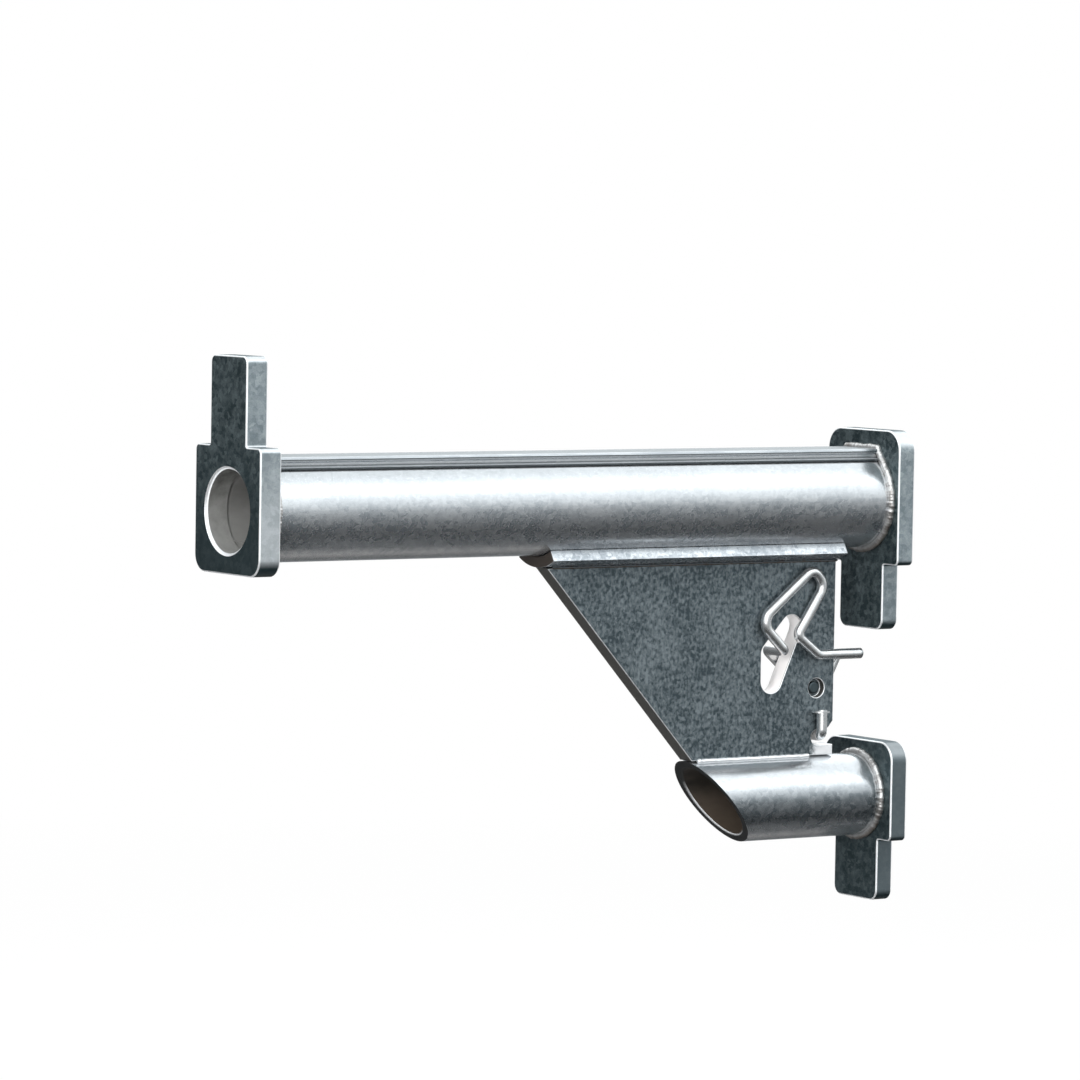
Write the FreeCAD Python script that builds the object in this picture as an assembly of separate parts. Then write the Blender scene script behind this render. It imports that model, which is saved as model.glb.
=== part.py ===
import FreeCAD, Part
import math
import os

os.makedirs("parts", exist_ok=True)

# Frame: millimetres, Z up. X runs along the main tube, zero at the bearing faces of the two hook plates,
# the bracket reaching towards minus X. Y is zero in the middle plane. Z is zero at the main tube's axis.

# Driving sizes: plates
outer_t = 13.5
hook_t = 11.5
reach = 442.0
edge_break = 1.1
light_break = 0.66
corner_r = 3.0
step_r = 1.2
tab_end_r = 4.0
hook_end_r = 6.0
body_w = 69.0
outer_tab_w = 38.0
hook_tab_w = 41.0
outer_up = 35.5
outer_down = 34.4
outer_tab_top = 84.6
outer_foot_r = 10.0
bore_d = 46.0
bore_bevel = 1.5
hook_up = 40.6
hook_down = 37.5
hook_tab_end = 75.8
hook_head_r = 12.0
low_w = 66.0
low_up = 32.2
low_down = 25.2
low_tab_end = 61.2
low_head_r = 11.5

# Driving sizes: tubes, rail and saddle
seat = 0.3
main_od = 57.0
main_wall = 4.5
seam_r = 0.9
seam_deg = 228.0
low_od = 48.3
low_wall = 4.5
low_mouth_bevel = 1.1
tube_drop = 173.2
mitre_deg = 39.6
mitre_x = -136.0
rail_top = 29.8
rail_half = 18.2
rail_lip = 1.3
rail_round = 0.4
rail_bevel = 1.4
rail_brow = 2.6
rail_groove = 2.4
rail_groove_top = 3.3
rail_groove_low = 5.2
rail_foot_top = 6.0
rail_undercut = 0.4
rail_undercut_w = 1.0
saddle_t = 6.5
saddle_half_deg = 30.0
saddle_lead = 3.8

# Driving sizes: gusset plate and its openings
gusset_t = 12.0
gusset_x = -34.3
slant_deg = 42.0
slant_x = -134.3
slot_rounds = [(-79.3, -104.3, 7.2), (-79.7, -88.6, 6.9), (-65.6, -73.4, 7.0)]
pivot_x = -46.9
pivot_z = -109.5
notch_h = 8.8
notch_depth = 15.4
notch_easing = 0.2
mouth_lead = 0.8
foot_h = 6.0
mouth_r = 5.0

# Driving sizes: latch wire and keeper wire
wire_d = 6.2
wire_gap = 0.4
pivot_play = 0.08
pivot_recess_d = 11.2
pivot_recess = 4.0
head_d = 7.2
head_t = 1.6
head_sunk = 2.0
tip_x = -17.6
free_z = -89.8
elbow_x = -48.5
knuckle = (-64.0, -78.0)
loop_right = (-44.6, -49.1)
loop_top = (-53.4, -39.6)
loop_left = (-90.6, -69.4)
cross = (-72.2, -87.2)
bend_elbow = 6.0
bend_knuckle = 3.9
bend_loop = 8.0
bend_top = 5.6
bend_cross = 3.6
stub_top = -122.0
keeper_top = -91.2
keeper_lean_deg = 27.5
keeper_inset = 1.6
collar_d = 11.0
collar_t = 1.0
collar_drop = 1.6
collar_shift = 1.3

# Driving sizes: welds
weld_leg = 4.4
weld_toe = 0.3
weld_crown = 0.62
weld_over_rail = 0.8
weld_rail_bevel = 0.3
fillet_leg = 2.6
fillet_root = 2.0
fillet_inset = 1.5

# Derived sizes
main_r = main_od / 2
low_r = low_od / 2
wire_r = wire_d / 2
inner_x = -hook_t
outer_x = -reach
outer_in_x = outer_x + outer_t
saddle_in_r = main_r + seat
saddle_out_r = saddle_in_r + saddle_t
gusset_top = -saddle_out_r - seat
gusset_low = -tube_drop + low_r + seat
low_top = -tube_drop + low_r
pivot_r = wire_r + pivot_play
face_y = gusset_t / 2
wire_y = face_y + wire_gap + wire_r


def vec(x, y, z):
    return FreeCAD.Vector(x, y, z)


def leaning(x, degrees, z):
    """X at height z of a slanting cut that passes x at the lower tube's top."""
    return x + math.tan(math.radians(degrees)) * (low_top - z)


def slant_at(z):
    """X of the gusset's slanting edge at height z."""
    return leaning(slant_x, slant_deg, z)


def mitre_at(z):
    """X of the lower tube's slanting end at height z."""
    return leaning(mitre_x, mitre_deg, z)


def rounded_wire(points, to_space):
    """Closed outline through (u, v, radius) corners, each corner rounded with its own radius."""
    edges = []
    starts = []
    ends = []
    count = len(points)
    for i in range(count):
        u, v, r = points[i]
        pu, pv, _ = points[i - 1]
        nu, nv, _ = points[(i + 1) % count]
        here = vec(u, v, 0)
        back = (vec(pu, pv, 0) - here).normalize()
        on = (vec(nu, nv, 0) - here).normalize()
        if r <= 0:
            starts.append(here)
            ends.append(here)
            edges.append(None)
            continue
        half = back.getAngle(on) / 2
        cut = r / math.tan(half)
        middle = (back + on).normalize()
        centre = here + middle * (r / math.sin(half))
        starts.append(here + back * cut)
        ends.append(here + on * cut)
        edges.append(centre - middle * r)
    out = []
    for i in range(count):
        if edges[i] is not None:
            out.append(Part.Arc(to_space(starts[i]), to_space(edges[i]), to_space(ends[i])).toShape())
        a = ends[i]
        b = starts[(i + 1) % count]
        if (b - a).Length > 1e-6:
            out.append(Part.makeLine(to_space(a), to_space(b)))
    return Part.Wire(out)


def across(x):
    """Outline coordinates are Y and Z, in the plane at x."""
    return lambda p: vec(x, p.x, p.y)


def upright(y):
    """Outline coordinates are X and Z, in the plane at y."""
    return lambda p: vec(p.x, y, p.y)


def break_edges(solid, radius, axis):
    """Small rounding on every edge that lies in a face square to the axis (0 for X, 1 for Y)."""
    picked = []
    for edge in solid.Edges:
        spots = [edge.valueAt(edge.FirstParameter), edge.valueAt(edge.LastParameter)]
        spots.append(edge.valueAt((edge.FirstParameter + edge.LastParameter) / 2))
        level = [p[axis] for p in spots]
        if max(level) - min(level) < 1e-4:
            picked.append(edge)
    return solid.makeFillet(radius, picked)


def plate(x, thickness, points):
    """Flat plate between x and x plus its thickness, outline given as (Y, Z, radius)."""
    face = Part.Face(rounded_wire(points, across(x)))
    return face.extrude(vec(thickness, 0, 0))


def tabbed(half, tab_half, far, shoulder, end, far_r, end_r):
    """Corners of a plate body with one narrower tab; the tab runs from shoulder to end."""
    return [(-half, far, far_r), (half, far, far_r), (half, shoulder, corner_r), (tab_half, shoulder, step_r),
            (tab_half, end, end_r), (-tab_half, end, end_r), (-tab_half, shoulder, step_r),
            (-half, shoulder, corner_r)]


def outer_end_plate():
    body = plate(outer_x, outer_t, tabbed(body_w / 2, outer_tab_w / 2, -outer_down, outer_up, outer_tab_top,
                                          outer_foot_r, tab_end_r))
    body = break_edges(body, edge_break, 0)
    bore_r = bore_d / 2
    body = body.cut(Part.makeCylinder(bore_r, outer_t, vec(outer_x, 0, 0), vec(1, 0, 0)))
    bevel = Part.makeCone(bore_r + bore_bevel, bore_r, bore_bevel, vec(outer_x, 0, 0), vec(1, 0, 0))
    return body.cut(bevel)


def upper_hook_plate():
    body = plate(inner_x, hook_t, tabbed(body_w / 2, hook_tab_w / 2, hook_up, -hook_down, -hook_tab_end,
                                         hook_head_r, hook_end_r))
    return break_edges(body, edge_break, 0)


def lower_hook_plate():
    drop = -tube_drop
    body = plate(inner_x, hook_t, tabbed(low_w / 2, hook_tab_w / 2, drop + low_up, drop - low_down,
                                         drop - low_tab_end, low_head_r, hook_end_r))
    return break_edges(body, edge_break, 0)


def tube(radius, wall, x0, x1, z):
    start = vec(x0, 0, z)
    outside = Part.makeCylinder(radius, x1 - x0, start, vec(1, 0, 0))
    return outside.cut(Part.makeCylinder(radius - wall, x1 - x0, start, vec(1, 0, 0)))


def main_tube():
    """Round tube, with the low ridge of its lengthwise seam standing inside."""
    x0 = outer_in_x + seat
    x1 = inner_x - seat
    body = tube(main_r, main_wall, x0, x1, 0)
    angle = math.radians(seam_deg)
    ridge_at = main_r - main_wall
    ridge = Part.makeCylinder(seam_r, x1 - x0, vec(x0, -ridge_at * math.cos(angle), ridge_at * math.sin(angle)),
                              vec(1, 0, 0))
    return body.fuse(ridge.common(Part.makeCylinder(main_r - seam_r, x1 - x0, vec(x0, 0, 0), vec(1, 0, 0))))


def lower_tube():
    """Short round tube whose free end is cut off slanting."""
    body = tube(low_r, low_wall, mitre_x - low_r, inner_x - seat, -tube_drop)
    top = low_top + low_r
    bottom = -tube_drop - 2 * low_r
    far = mitre_at(top) - low_od * 2
    corners = [vec(far, -low_od, top), vec(mitre_at(top), -low_od, top), vec(mitre_at(bottom), -low_od, bottom),
               vec(far, -low_od, bottom), vec(far, -low_od, top)]
    waste = Part.Face(Part.makePolygon(corners)).extrude(vec(0, 2 * low_od, 0))
    body = body.cut(waste)
    inner_half = low_r - low_wall
    mouth = [e for e in body.Edges if abs(e.BoundBox.YMax - inner_half) < 0.01 and e.BoundBox.XMax < inner_x - hook_t
             and e.BoundBox.XLength > 1.0 and e.BoundBox.XLength < 2 * low_od]
    return body.makeChamfer(low_mouth_bevel, mouth)


def rail_section(x, grow=0.0):
    """Rail section: top face, rounded lip, side groove and foot, hollowed underneath to lie on the tube."""
    lip = rail_half - rail_lip + grow
    foot = rail_half + grow
    neck = rail_half - rail_groove + grow
    top = rail_top + grow
    base = math.sqrt(main_r ** 2 - rail_half ** 2) - main_wall
    half = [(0, top), (lip - rail_bevel, top), (lip - rail_round, top - rail_round), (lip, top - rail_bevel),
            (lip, top - rail_brow), (neck, top - rail_groove_top), (neck, top - rail_groove_low),
            (foot, top - rail_foot_top), (foot, base)]
    points = [vec(x, y, z) for y, z in half]
    mirror = [vec(x, -y, z) for y, z in reversed(half[1:])]
    loop = points + mirror
    return Part.Face(Part.makePolygon(loop + [loop[0]]))


def top_rail():
    x0 = outer_in_x + seat
    length = inner_x - seat - x0
    bar = rail_section(x0).extrude(vec(length, 0, 0))
    bar = bar.cut(Part.makeCylinder(main_r + seat, length, vec(x0, 0, 0), vec(1, 0, 0)))
    relief = Part.makeCylinder(main_r + seat + rail_undercut, length, vec(x0, 0, 0), vec(1, 0, 0))
    middle = rail_half - rail_undercut_w
    return bar.cut(relief.cut(Part.makeBox(length, 2 * middle, 2 * main_r, vec(x0, -middle, 0))))


def tube_saddle():
    """Trough of bent plate lying against the underside of the main tube."""
    x0 = slant_at(gusset_top) - saddle_lead
    half = math.radians(saddle_half_deg)

    def at(radius, angle):
        return vec(x0, radius * math.sin(angle), -radius * math.cos(angle))

    inside = Part.Arc(at(saddle_in_r, -half), at(saddle_in_r, 0), at(saddle_in_r, half)).toShape()
    outside = Part.Arc(at(saddle_out_r, half), at(saddle_out_r, 0), at(saddle_out_r, -half)).toShape()
    near = Part.makeLine(at(saddle_out_r, -half), at(saddle_in_r, -half))
    far = Part.makeLine(at(saddle_in_r, half), at(saddle_out_r, half))
    face = Part.Face(Part.Wire([inside, far, outside, near]))
    return break_edges(face.extrude(vec(gusset_x - x0, 0, 0)), light_break, 0)


def belt_face(rounds, y):
    """Face bounded by the arcs of the given circles and the straight lines that touch each pair outside."""
    touches = []
    count = len(rounds)
    for i in range(count):
        x0, z0, r0 = rounds[i]
        x1, z1, r1 = rounds[(i + 1) % count]
        along = vec(x1 - x0, 0, z1 - z0)
        gap = along.Length
        along.normalize()
        side = vec(-along.z, 0, along.x)
        lean = (r0 - r1) / gap
        out = along * lean + side * math.sqrt(1 - lean * lean)
        touches.append((vec(x0, y, z0) + out * r0, vec(x1, y, z1) + out * r1))
    edges = []
    for i in range(count):
        arrive = touches[i - 1][1]
        leave = touches[i][0]
        x0, z0, r0 = rounds[i]
        centre = vec(x0, y, z0)
        mid = ((arrive - centre) + (leave - centre)).normalize()
        edges.append(Part.Arc(arrive, centre + mid * r0, leave).toShape())
        edges.append(Part.makeLine(touches[i][0], touches[i][1]))
    return Part.Face(Part.Wire(edges))


def clockwise(rounds):
    """The same circles in the order that puts their touching lines on the outside."""
    middle_x = sum(r[0] for r in rounds) / len(rounds)
    middle_z = sum(r[1] for r in rounds) / len(rounds)
    return sorted(rounds, key=lambda r: -math.atan2(r[1] - middle_z, r[0] - middle_x))


def gusset_plate():
    """Web between the tubes, with its slanting slot, pivot hole and open notch over the foot."""
    outline = [(slant_at(gusset_top), gusset_top, 0), (gusset_x, gusset_top, 0), (gusset_x, gusset_low, 0),
               (slant_at(gusset_low), gusset_low, 0)]
    web = Part.Face(rounded_wire(outline, upright(-face_y))).extrude(vec(0, gusset_t, 0))
    slot = belt_face(clockwise(slot_rounds), -face_y).extrude(vec(0, gusset_t, 0))
    web = web.cut(slot)
    web = web.cut(Part.makeCylinder(pivot_r, gusset_t, vec(pivot_x, -face_y, pivot_z), vec(0, 1, 0)))
    web = web.cut(Part.makeCylinder(pivot_recess_d / 2, pivot_recess, vec(pivot_x, -face_y, pivot_z),
                                    vec(0, 1, 0)))
    low = gusset_low + foot_h
    high = low + notch_h
    end = gusset_x - notch_depth
    round_r = notch_h / 2 - notch_easing
    past = gusset_x + mouth_r
    notch = [(end, low, round_r), (past, low, 0), (past, high + mouth_r, 0), (gusset_x, high + mouth_r, 0),
             (gusset_x - mouth_r * mouth_lead, high, mouth_r), (end, high, round_r)]
    pocket = Part.Face(rounded_wire(notch, upright(-face_y))).extrude(vec(0, gusset_t, 0))
    web = web.cut(pocket)
    return break_edges(web, light_break, 1)


def bent_bar(corners, radius):
    """Round bar along straight legs joined by round bends; corners are (point, bend radius)."""
    pieces = []
    here = corners[0][0]
    for i in range(1, len(corners) - 1):
        spot, bend = corners[i]
        back = (corners[i - 1][0] - spot).normalize()
        on = (corners[i + 1][0] - spot).normalize()
        half = back.getAngle(on) / 2
        cut = bend / math.tan(half)
        middle = (back + on).normalize()
        inside = spot + middle * (bend / math.sin(half) - bend)
        first = spot + back * cut
        last = spot + on * cut
        pieces.append(Part.makeLine(here, first))
        pieces.append(Part.Arc(first, inside, last).toShape())
        here = last
    pieces.append(Part.makeLine(here, corners[-1][0]))
    path = Part.Wire(pieces)
    start = corners[0][0]
    ahead = (corners[1][0] - start).normalize()
    ring = Part.Wire([Part.Circle(start, ahead, radius).toShape()])
    return path.makePipeShell([ring], True, True)


def latch_wire():
    """Free end, elbow, knuckle and finger loop in front, then through the slot to a rear leg whose end turns
    forward into the pivot hole and is headed there."""
    front = -wire_y
    rear = wire_y

    def spot(pair, y):
        return vec(pair[0], y, pair[1])

    head_y = -face_y + head_sunk + head_t
    corners = [(vec(tip_x, front, free_z), 0), (vec(elbow_x, front, free_z), bend_elbow),
               (spot(knuckle, front), bend_knuckle), (spot(loop_right, front), bend_loop),
               (spot(loop_top, front), bend_top), (spot(loop_left, front), bend_loop),
               (spot(cross, front), bend_cross), (spot(cross, rear), bend_cross),
               (vec(pivot_x, rear, pivot_z), bend_cross), (vec(pivot_x, head_y, pivot_z), 0)]
    bar = bent_bar(corners, wire_r)
    tip = [e for e in bar.Edges if abs(e.BoundBox.XMax - tip_x) < 1e-3 and e.BoundBox.XLength < 1e-3]
    bar = bar.makeChamfer(light_break, tip)
    head = Part.makeCylinder(head_d / 2, head_t, vec(pivot_x, head_y, pivot_z), vec(0, -1, 0))
    rim = [e for e in head.Edges if abs(e.BoundBox.YMax - (head_y - head_t)) < 1e-3 and e.Length > head_d]
    return bar.fuse(head.makeFillet(edge_break, rim))


def keeper_cross():
    """Where the keeper wire goes through the notch, just under its upper edge."""
    high = gusset_low + foot_h + notch_h
    return gusset_x - notch_depth + wire_r + keeper_inset, high - wire_r - seat


def keeper_wire():
    """Upright stub in front of the gusset, through the notch, and a slanting leg behind."""
    x, z = keeper_cross()
    rise = keeper_top - z
    lean = math.tan(math.radians(keeper_lean_deg))
    corners = [(vec(x, -wire_y, stub_top), 0), (vec(x, -wire_y, z), bend_cross), (vec(x, wire_y, z), bend_cross),
               (vec(x + rise * lean, wire_y, keeper_top), 0)]
    return bent_bar(corners, wire_r)


def keeper_weld():
    """Thin collar of weld round the stub's upper end, stopping short of the gusset's face."""
    x, _ = keeper_cross()
    level = stub_top - collar_drop
    disc = Part.makeCylinder(collar_d / 2, collar_t, vec(x - collar_shift, -wire_y, level), vec(0, 0, 1))
    disc = disc.cut(Part.makeCylinder(wire_r + seat / 2, collar_t, vec(x, -wire_y, level), vec(0, 0, 1)))
    wall = Part.makeBox(collar_d * 2, collar_d, collar_t * 3, vec(x - collar_d, -face_y - seat, level - collar_t))
    return disc.cut(wall)


def ring_weld(x, way, radius, z, leg):
    """Fillet weld round a tube, lying against a plate; way is the side the weld reaches to."""
    near = radius + seat
    mid = leg * weld_crown
    points = [(x, near), (x, near + leg), (x + way * mid, near + mid), (x + way * leg, near + weld_toe),
              (x + way * leg, near)]
    corners = [vec(px, 0, z + r) for px, r in points]
    face = Part.Face(Part.makePolygon(corners + [corners[0]]))
    return face.revolve(vec(0, 0, z), vec(1, 0, 0), 360)


def weld_outer_plate():
    """Round the tube, open at the top where the rail meets the plate."""
    half = rail_half + seat
    low = math.sqrt(main_r ** 2 - rail_half ** 2) - seat
    rail = Part.makeBox(weld_leg * 3, 2 * half, main_r, vec(outer_in_x, -half, low))
    return ring_weld(outer_in_x + seat, 1, main_r, 0, weld_leg).cut(rail)


def weld_upper_hook():
    """Round the tube and up over the end of the rail."""
    x = inner_x - seat
    ring = ring_weld(x, -1, main_r, 0, weld_leg)
    depth = weld_leg * weld_over_rail
    over = rail_section(x - depth, depth).extrude(vec(depth, 0, 0))
    outside = rail_top - rail_foot_top - seat
    edges = [e for e in over.Edges if e.BoundBox.XMax < x - depth + 1e-4 and e.BoundBox.ZMin > outside]
    over = over.makeChamfer(weld_leg * weld_rail_bevel, edges)
    over = over.cut(Part.makeCylinder(main_r + seat, weld_leg * 4, vec(x - weld_leg * 2, 0, 0), vec(1, 0, 0)))
    both = ring.fuse(over)
    rail = rail_section(x - weld_leg * 2, seat).extrude(vec(weld_leg * 4, 0, 0))
    return both.cut(rail).removeSplitter()


def weld_lower_hook():
    return ring_weld(inner_x - seat, -1, low_r, -tube_drop, weld_leg)


def edge_weld(x0, x1, side, z, way):
    """Straight fillet weld beside the gusset, rising from z; it is trimmed to the piece it lies on."""
    tall = fillet_leg + fillet_root
    y0 = side * (face_y + seat)
    y1 = side * (face_y + seat + tall)
    ym = side * (face_y + seat + tall * weld_crown)
    corners = [vec(x0, y0, z + way * tall), vec(x0, ym, z + way * tall * weld_crown), vec(x0, y1, z),
               vec(x0, y0, z), vec(x0, y0, z + way * tall)]
    return Part.Face(Part.makePolygon(corners)).extrude(vec(x1 - x0, 0, 0))


def saddle_weld(side):
    """Fillet weld between the gusset's side and the underside of the saddle."""
    x0 = slant_at(gusset_top) + fillet_leg * fillet_inset
    bar = edge_weld(x0, gusset_x, side, -saddle_out_r + fillet_root, -1)
    return bar.cut(Part.makeCylinder(saddle_out_r + seat, reach, vec(outer_x, 0, 0), vec(1, 0, 0)))


def gusset_weld(side):
    """Fillet weld between the gusset's side and the top of the lower tube."""
    x0 = slant_at(gusset_low) + fillet_leg * fillet_inset
    x1 = gusset_x - notch_depth - fillet_leg
    bar = edge_weld(x0, x1, side, -tube_drop + low_r - fillet_root, 1)
    return bar.cut(Part.makeCylinder(low_r + seat, reach, vec(outer_x, 0, -tube_drop), vec(1, 0, 0)))


nodes = {
    "main_tube": main_tube(),
    "top_rail": top_rail(),
    "outer_end_plate": outer_end_plate(),
    "upper_hook_plate": upper_hook_plate(),
    "lower_hook_plate": lower_hook_plate(),
    "lower_tube": lower_tube(),
    "tube_saddle": tube_saddle(),
    "gusset_plate": gusset_plate(),
    "latch_wire": latch_wire(),
    "keeper_wire": keeper_wire(),
    "keeper_weld": keeper_weld(),
    "weld_outer_plate": weld_outer_plate(),
    "weld_upper_hook": weld_upper_hook(),
    "weld_lower_hook": weld_lower_hook(),
    "weld_saddle_front": saddle_weld(-1),
    "weld_saddle_back": saddle_weld(1),
    "weld_gusset_front": gusset_weld(-1),
    "weld_gusset_back": gusset_weld(1),
}

for name, shape in nodes.items():
    shape.exportStep("parts/" + name + ".step")
    box = shape.BoundBox
    print(name, "solids", len(shape.Solids), "valid", shape.isValid(), "volume", round(shape.Volume),
          [round(v, 1) for v in (box.XMin, box.XMax, box.YMin, box.YMax, box.ZMin, box.ZMax)])
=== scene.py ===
"""Scaffold board bracket in hot-dip galvanised steel: its finishes, its rippled welds and its studio."""

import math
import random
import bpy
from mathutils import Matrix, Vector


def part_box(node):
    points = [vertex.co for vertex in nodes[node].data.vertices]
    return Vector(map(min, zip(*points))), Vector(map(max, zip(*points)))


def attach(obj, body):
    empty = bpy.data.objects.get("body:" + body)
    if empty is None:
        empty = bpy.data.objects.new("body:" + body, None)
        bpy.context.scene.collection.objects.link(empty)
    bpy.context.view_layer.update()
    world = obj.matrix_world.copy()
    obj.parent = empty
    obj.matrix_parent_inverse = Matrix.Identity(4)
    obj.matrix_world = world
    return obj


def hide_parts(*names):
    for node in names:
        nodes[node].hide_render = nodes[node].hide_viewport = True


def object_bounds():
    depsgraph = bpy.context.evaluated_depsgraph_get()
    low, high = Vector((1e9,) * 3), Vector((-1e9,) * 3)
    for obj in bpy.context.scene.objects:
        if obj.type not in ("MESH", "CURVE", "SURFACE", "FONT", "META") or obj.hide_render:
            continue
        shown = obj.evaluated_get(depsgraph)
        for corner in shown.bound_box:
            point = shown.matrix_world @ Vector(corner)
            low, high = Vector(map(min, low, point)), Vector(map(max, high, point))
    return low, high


bl_info = {
    "name": "Scaffold board bracket",
    "version": (1, 0, 0),
    "blender": (4, 5, 0),
    "location": "View3D > Sidebar > Bracket",
    "description": "Dresses a galvanised scaffold board bracket and sets its studio",
    "category": "Object",
}

import bpy
from bpy.props import FloatProperty, FloatVectorProperty, PointerProperty
from mathutils import Matrix, Vector

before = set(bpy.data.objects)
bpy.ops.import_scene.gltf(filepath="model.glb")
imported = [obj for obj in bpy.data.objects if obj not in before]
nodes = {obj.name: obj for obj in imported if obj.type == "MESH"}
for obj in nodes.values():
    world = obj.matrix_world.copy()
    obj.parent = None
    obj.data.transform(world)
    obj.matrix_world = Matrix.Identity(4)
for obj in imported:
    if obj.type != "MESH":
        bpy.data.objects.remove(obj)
cad_low, cad_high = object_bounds()

MM = 0.001
FIXED_BODY = "bracket"
PLATES = ("outer_end_plate", "upper_hook_plate", "lower_hook_plate")
TUBES = ("main_tube", "lower_tube")

# Where a finish changes: X and Z of the pivot, depths in a tube's wall, the bore's radius, and how far from
# the hook plates' bearing faces the slot and the outer plate begin.
PIVOT = (-46.9 * MM, -109.5 * MM)
WALL_MIDDLE = 2.2 * MM
RIM = 2.5 * MM
BORE = 23 * MM
NOTCH_SIDE = 37 * MM
OUTER_SIDE = 400 * MM

# How strong a tone is by height on a tube, from 0 near its lowest line to 1 near its top line. The dull
# clouds are strongest below the axis: partly grain, partly painted shade where the tube turns away from the
# light.
TUBE_CLOUDS_AND_SHADE = ((0.05, 0.35), (0.20, 1.0), (0.45, 0.9), (0.62, 0.25))
# Painted shade on the lower tube: how strongly its lower half is painted darker, by height.
LOW_SHADE = ((0.19, 0.0), (0.24, 0.45), (0.29, 0.72), (0.50, 0.70), (0.56, 0.62), (0.62, 0.42), (0.70, 0.14),
             (0.76, 0.0))
# How pale a plate's edge is painted, as a painted highlight, by how much it faces up, and where its flat top
# is dull again.
UPWARD_HIGHLIGHT = ((0.15, 0.0), (0.45, 0.55), (0.85, 0.55), (1.0, 0.10))
CROWN = (0.94, 0.995)

# How much painted shade darkens a tube's inside towards its top, and its near black colour.
TOP_SHADE_SHARE = {"main_tube": 0.62, "lower_tube": 0.93}
TOP_SHADE = (0.012, 0.010, 0.008)
# Painted shade at the top of the outer plate's bore.
BORE_TOP_SHADE = (0.04, 0.04, 0.035)

# Weld beads. The radius, the wander and the sink of a ripple are shares of the leg, its overlap is half its
# thickness over the distance to the next, and its sizes are the least and the most that it is scaled by.
RIPPLE_RADIUS = 0.66
RIPPLE_WANDER = 0.05
RIPPLE_OVERLAP = 1.188
RIPPLE_SIZES = (0.90, 1.03)
BEAD_SINK = 0.22
# Legs of the two hooks' beads as shares of the ring leg, and the ripple of the gusset's as one of the ripple.
UPPER_HOOK_LEG = 0.9
LOWER_HOOK_LEG = 0.85
GUSSET_RIPPLE = 0.85
# How finely the beads are melted, and where the hook's bead leaves the tube for the rail.
RING_VOXEL = 0.42 * MM
FOOT_VOXEL = 0.40 * MM
HOOK_TURN = math.radians(52)

# The studio as the zinc mirrors it: tone by height, from 0 straight below to 1 straight above.
GLOW = ((0.08, 0.042), (0.12, 0.020), (0.16, 0.018), (0.20, 0.030), (0.255, 0.055), (0.312, 0.088),
        (0.375, 0.13), (0.44, 0.185), (0.50, 0.27), (0.55, 0.42), (0.60, 0.51), (0.66, 0.60),
        (0.72, 0.72), (0.77, 0.94), (0.82, 0.94), (0.86, 0.80), (0.92, 0.52), (1.0, 0.38))
GLOW_TINT = (0.95, 1.0, 1.02)
GLOW_STRENGTH = 2.3
REAR_FLOOR = (0.16, 0.155, 0.15)
DARK_CARD = (0.042, 0.045, 0.048)
CARD_SIDE = (-0.60, 0.78, -0.18)
SOFT_FILL = (0.42, 0.435, 0.45)
WHITE = (1.0, 1.0, 1.0)
FLOOR_SIZE = 60.0

AIM = Vector((-231.2, 0.0, -45.75)) * MM
CAMERA_SHIFT = (-0.0081, 0.0423)
SENSOR_WIDTH = 36.0


def colour_property(name, description, default):
    return FloatVectorProperty(name=name, description=description, default=default, size=3, min=0.0, max=1.0,
                               subtype="COLOR")


def length_property(name, description, default):
    return FloatProperty(name=name, description=description, default=default, min=0.0, subtype="DISTANCE",
                         unit="LENGTH")


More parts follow.
